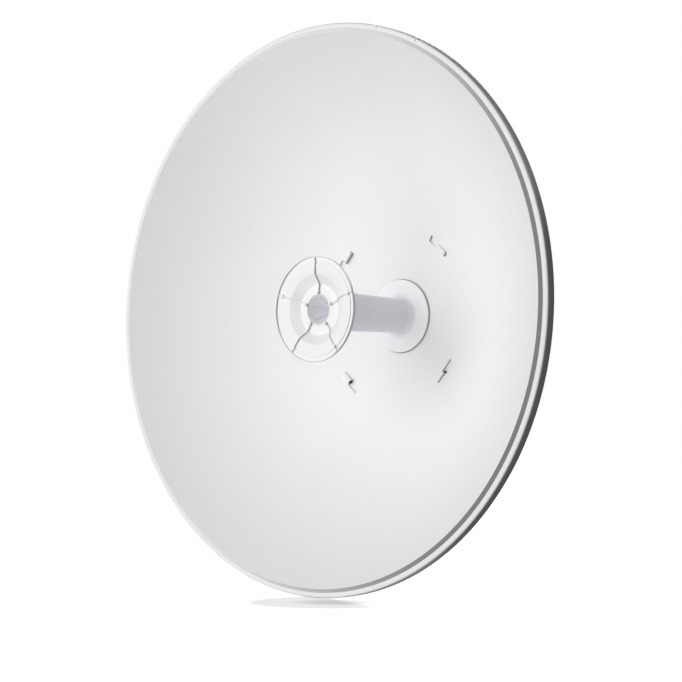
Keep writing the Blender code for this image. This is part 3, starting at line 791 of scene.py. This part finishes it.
# %% Hub plate
HUB_FLAT = 0.1720
HUB_T = 0.0025
HUB_BORE_R = 0.0300
HOOK = (0.0070, 0.0038, 0.0145)
BOLT_HOLE = 0.0044
REST = (0.1180, 0.1280)
rest_in, rest_out = bowl_back(REST[0]) + 0.0004, bowl_back(REST[1]) + 0.0005
hub = turned("hub_pressing", [
    (HUB_BORE_R, HUB_FLAT), (0.0905, HUB_FLAT), (0.0918, HUB_FLAT - 0.0003), (0.0930, HUB_FLAT - 0.0010),
    (REST[0] - 0.0030, rest_in + 0.0030), (REST[0] - 0.0012, rest_in + 0.0007), (REST[0], rest_in),
    (REST[1], rest_out), (REST[1] + 0.0006, rest_out + 0.0006),
    (REST[1] + 0.0006, rest_out + HUB_T - 0.0004), (REST[1] + 0.0002, rest_out + HUB_T),
    (REST[0] + 0.0010, rest_in + HUB_T + 0.0006), (REST[0] - 0.0004, rest_in + HUB_T + 0.0022),
    (0.0950, HUB_FLAT + 0.0016), (0.0935, HUB_FLAT + 0.0022), (0.0915, HUB_FLAT + HUB_T),
    (HUB_BORE_R, HUB_FLAT + HUB_T)], 160)
hooks = []
for i, angle in enumerate(LUG_ANGLES):
    place = lug_place(angle) @ Matrix.Translation((0.0078, 0, 0.0012 - HOOK[2] / 2))
    hooks.append(block(f"hook_{i}", HOOK, place, 0.0006))
add(hub, melt(hooks))


def four_corners(x, z):
    return [(way * x, up * z) for up in (1, -1) for way in (-1, 1)]


def bores(places, middle):
    return melt([drum("bore", (x, LIP + middle - 0.01, z), (x, LIP + middle + 0.01, z), BOLT_HOLE, 32)
                 for x, z in places])


corners = four_corners(0.048, 0.045)
take(hub, bores(corners, HUB_FLAT))
hand_over(hub, mount_paint, "mount_paint", "hub_plate")

# %% [markdown]
# ### Two folded brackets
# Each bracket is a strip of 3 mm plate, punched flat and then folded twice. The corners of a fold are
# round, because a sharp fold would tear the plate. A swing slot lets the dish be tilted, and fine
# marks beside it help to set both sides alike.

# %% Tilt bracket
PLATE = 0.0030
TILT_HALF = 0.0750
PIVOT_DEPTH, PIVOT_Z, SWING_R, SWING = 0.2450, -0.0380, 0.0700, 16
SIDE = Matrix(((0, 0, 1, 0), (1, 0, 0, 0), (0, 1, 0, 0), (0, 0, 0, 1)))


def arc(x, y, radius, start, end, steps):
    turns = [math.radians(start + (end - start) * i / steps) for i in range(steps + 1)]
    return [(x + radius * math.cos(a), y + radius * math.sin(a)) for a in turns]


def folded(name, half_x, half_z, web, end, cuts):
    inward = 1 if end > web else -1
    bend = 0.0045
    quarter = arc(0, 0, 1, 180, 270, 6)

    def edge(reach):
        return [(x * reach - half_x + bend, LIP + web + inward * (bend + y * reach)) for x, y in quarter]

    outer = [(-half_x, LIP + end)] + edge(bend)
    hollow = [(PLATE - half_x, LIP + end)] + edge(bend - PLATE)
    line = outer + [(-x, y) for x, y in reversed(outer)]
    line += [(-x, y) for x, y in hollow] + list(reversed(hollow))
    ob = cut_plate(name, line, 2 * half_z, Matrix.Identity(4))
    for i, outline in enumerate(cuts):
        take(ob, cut_plate(f"cut_{i}", [(LIP + depth, z) for depth, z in outline], 0.3, SIDE))
    return soft_edges(ob, 0.0005, 40)


def round_hole(z):
    return arc(PIVOT_DEPTH, z, BOLT_HOLE, 0, 345, 23)


ends = [arc(PIVOT_DEPTH, PIVOT_Z, SWING_R, a, a, 1)[0] for a in (90 - SWING, 90 + SWING)]
slot = arc(PIVOT_DEPTH, PIVOT_Z, SWING_R + BOLT_HOLE, 90 - SWING, 90 + SWING, 16)
slot += arc(*ends[1], BOLT_HOLE, 90 + SWING, 270 + SWING, 12)[1:-1]
slot += arc(PIVOT_DEPTH, PIVOT_Z, SWING_R - BOLT_HOLE, 90 + SWING, 90 - SWING, 16)
slot += arc(*ends[0], BOLT_HOLE, 270 - SWING, 450 - SWING, 12)[1:-1]
tilt_start = HUB_FLAT + HUB_T + GAP
tilt_plate = tilt_start + PLATE
tilt_cuts = [
    [(0.2380, 0.0700), (0.2700, 0.0700), (0.2700, 0.0420)],
    [(0.2380, -0.0700), (0.2700, -0.0700), (0.2700, -0.0420)],
    slot, round_hole(PIVOT_Z)]
tilt = folded("tilt_folding", TILT_HALF, 0.0620, tilt_start, 0.2620, tilt_cuts)
take(tilt, bores(corners, tilt_start))
take(tilt, drum("hub_bore", (0, LIP + HUB_FLAT, 0), (0, LIP + tilt_plate + 0.01, 0), HUB_BORE_R, 96))
marks = []
for side in (-1, 1):
    pivot = Matrix.Translation((side * TILT_HALF, LIP + PIVOT_DEPTH, PIVOT_Z))
    for i in range(-4, 5):
        turn = Matrix.Rotation(math.radians(4 * i), 4, "X")
        size = (0.0008, 0.0005, 0.0040 if i % 2 else 0.0065)
        arm = Matrix.Translation((0, 0, SWING_R + BOLT_HOLE + 0.0016 + size[2] / 2))
        marks.append(block("mark", size, pivot @ turn @ arm))
take(tilt, melt(marks))
hand_over(tilt, mount_paint, "mount_paint", "tilt_bracket")

# %% Pole bracket
POLE_FACE = 0.3000
pole_plate = POLE_FACE - PLATE
pole_half_x = TILT_HALF - PLATE - 0.0005
CLAMP_X, CLAMP_Z = 0.046, 0.042
clamp_corners = four_corners(CLAMP_X, CLAMP_Z)
pole_cuts = [
    [(0.2150, 0.0450), (0.2150, 0.0700), (0.2500, 0.0700)],
    [(0.2150, -0.0560), (0.2150, -0.0700), (0.2320, -0.0700)],
    round_hole(PIVOT_Z), round_hole(PIVOT_Z + SWING_R)]
pole = folded("pole_folding", pole_half_x, 0.0650, POLE_FACE, 0.2250, pole_cuts)
take(pole, bores(clamp_corners, POLE_FACE))
hand_over(pole, mount_paint, "mount_paint", "pole_bracket")

# %% [markdown]
# ### Clamps, bolts and nuts
# Two bent clamps draw the pole against the bracket's flat face, and their teeth bite into its zinc
# coat, so that wind cannot turn the dish. One bolt of each kind is turned with its thread, and one
# nut with its flange and chamfers, and they are copied to their places.

# %% Clamps
CLAMP_KNEE, CLAMP_APEX, CLAMP_T = 0.0340, 0.0100, 0.0040
POLE_R = 0.0250
TOOTH_START, TOOTH_PITCH, TOOTH_TOP = 0.0020, 0.0023, 0.0018
ear = POLE_FACE + POLE_R * (1 + math.sqrt(2)) + GAP - CLAMP_KNEE
crown = ear + CLAMP_KNEE - CLAMP_APEX
miter = CLAMP_T * math.tan(math.radians(22.5))
teeth = []
for i in range(9):
    run = CLAMP_APEX + TOOTH_START + TOOTH_PITCH * i
    teeth += [(run, crown + CLAMP_APEX - run), (run + TOOTH_TOP, crown + CLAMP_APEX - run - 0.0002)]
half = [(CLAMP_APEX, crown)] + teeth + [
    (CLAMP_KNEE, ear), (0.0570, ear), (0.0580, ear + 0.0010), (0.0580, ear + CLAMP_T - 0.0010),
    (0.0570, ear + CLAMP_T), (CLAMP_KNEE + miter, ear + CLAMP_T), (CLAMP_APEX + miter, crown + CLAMP_T)]
line = [(x, LIP + y) for x, y in half + [(-x, y) for x, y in reversed(half)]]
for word, z in (("upper", CLAMP_Z), ("lower", -CLAMP_Z)):
    clamp = cut_plate(f"toothed_clamp_{word}", line, 0.0300, Matrix.Translation((0, 0, z)))
    take(soft_edges(clamp, 0.0004, 25), bores([(-CLAMP_X, z), (CLAMP_X, z)], ear))
    hand_over(clamp, zinc_clamp, "zinc", f"clamp_{word}")

# %% Bolts and nuts
M8 = 0.0040
THREAD_PITCH = 0.00125
NUT_R, NUT_H = 0.0074, 0.0065
WASHER_STEP = 0.0004


def bolt(name, length, head, plain, domed=True):
    shank = [(M8, 0), (M8, plain), (0, plain)]
    if domed:
        ob = lathe(name, [
            (0, -head), (0.0036, -head), (0.0056, -head * 0.86), (0.0072, -head * 0.6),
            (0.0083, -head * 0.25), (0.0086, -0.0004), (0.0084, 0)] + shank, 40)
    else:
        ob = hexagon(name, -head, -WASHER_STEP, NUT_R, -head)
        add(ob, lathe("washer_face", [(0, -0.0010), (0.0064, -0.0010), (0.0064, 0)] + shank, 40))
    return melt([ob, thread("turns", plain - 0.0002, length - 0.0006, M8, THREAD_PITCH, 24)])


nut = hexagon("nut", WASHER_STEP, NUT_H, NUT_R, NUT_H)
add(nut, lathe("nut_flange", [
    (0, 0), (0.0085, 0), (0.0088, 0.0003), (0.0088, 0.0010), (0.0070, 0.0019), (0, 0.0019)], 40))
take(nut, lathe("nut_bore", [
    (0, -0.001), (0.0048, -0.001), (0.0048, 0), (0.00425, 0.0006), (0.00425, NUT_H - 0.0006),
    (0.0048, NUT_H), (0.0048, 0.0080), (0, 0.0080)], 32))


def spread(source, word, slots, places):
    for slot_name, place in zip(slots, places):
        hand_over(twin(source, f"{word}_{slot_name}", place), zinc_bright, "zinc", slot_name)


def numbered(word):
    return [f"{word}_{i + 1}" for i in range(4)]


def spots(places, depth):
    return [rear_spot(x, depth, z) for x, z in places]


clamp_nut_face = ear + CLAMP_T + GAP
hub_bolt = bolt("hub_bolt", tilt_plate + 0.0110 - HUB_FLAT, head=0.0036, plain=0.0030)
clamp_bolt = bolt("clamp_bolt", clamp_nut_face + 0.0500 - pole_plate, head=0.0040, plain=0.0300)
side_bolt = bolt("side_bolt", 0.0213, head=0.0053, plain=0.0040, domed=False)
spread(hub_bolt, "domed", numbered("hub_bolt"), spots(corners, HUB_FLAT - GAP))
spread(nut, "flanged", numbered("hub_nut"), spots(corners, tilt_plate + GAP))
spread(clamp_bolt, "domed", numbered("clamp_bolt"), spots(clamp_corners, pole_plate - GAP))
spread(nut, "flanged", numbered("clamp_nut"), spots(clamp_corners, clamp_nut_face))
outside, inside = TILT_HALF + GAP, pole_half_x - PLATE - GAP
for word, z in (("pivot", PIVOT_Z), ("lock", PIVOT_Z + SWING_R)):
    spread(side_bolt, "hexagon", [f"{word}_bolt_left", f"{word}_bolt_right"],
           [rear_spot(-outside, PIVOT_DEPTH, z, -90), rear_spot(outside, PIVOT_DEPTH, z, 90)])
    spread(nut, "flanged", [f"{word}_nut_left", f"{word}_nut_right"],
           [rear_spot(-inside, PIVOT_DEPTH, z, -90), rear_spot(inside, PIVOT_DEPTH, z, 90)])
drop(hub_bolt, clamp_bolt, side_bolt, nut)

# %% [markdown]
# ## The floor
# The floor is a plain pale board, level in the picture, that touches the lowest point of the rim. It
# glows white like the backdrop, so hardly a shadow shows on it. The soft shade under the rim is
# painted instead, as an ellipse in the colour of that glow. The dish neither mirrors the board nor
# takes light from it.

# %% Floor
SHADE_HALF_WIDTH, SHADE_HALF_DEPTH = 0.096, 0.058
SHADE_NEARER, SHADE_RIGHT = 0.045, 0.024
SHADE_CORE, SHADE_EDGE, WHITE = (0.50, 0.50, 0.505), (0.72, 0.72, 0.72), (1.0, 1.0, 1.0)
level = (view_up * math.cos(rise) + view_back * math.sin(rise)).normalized()
rim_spots = [Vector((RIM_R * math.cos(a), LIP + 0.008, RIM_R * math.sin(a)))
             for a in (math.radians(i / 4) for i in range(1440))]
lowest = min(rim_spots, key=lambda spot: spot.dot(level))
only(None)
bpy.ops.mesh.primitive_plane_add(size=30, location=lowest - level * 0.0006)
floor = bpy.context.object
floor.name = floor.data.name = "floor"
floor.rotation_euler = level.to_track_quat("Z", "Y").to_euler()
settle(floor)
pale = Finish("pale_floor")
board = noise(pale.place, 3.0, 2.0)
inward = level.cross(view_right).normalized()
middle = lowest - inward * SHADE_NEARER + view_right * SHADE_RIGHT
squares = []
for way, half in ((view_right, SHADE_HALF_WIDTH), (inward, SHADE_HALF_DEPTH)):
    steps = pale.place.along(way / half) - way.dot(middle) / half
    squares.append(steps * steps)
reach = squares[0] + squares[1]
core = blend(ridge(reach, 0.0, 0.30), SHADE_CORE, SHADE_EDGE)
glow = blend(ridge(reach, 0.80, 1.10), core, WHITE)
pale.shader.inputs["Emission Strength"].default_value = 1.0
floor.data.materials.append(pale.feed(Base_Color=blend(board, (0.06, 0.06, 0.06), (0.05, 0.05, 0.05)),
                                      Roughness=0.60 + 0.05 * board, Emission_Color=glow))
floor.visible_diffuse = False
floor.visible_glossy = False
floor.visible_shadow = False
print("floor touches the rim at", [round(v, 4) for v in lowest])
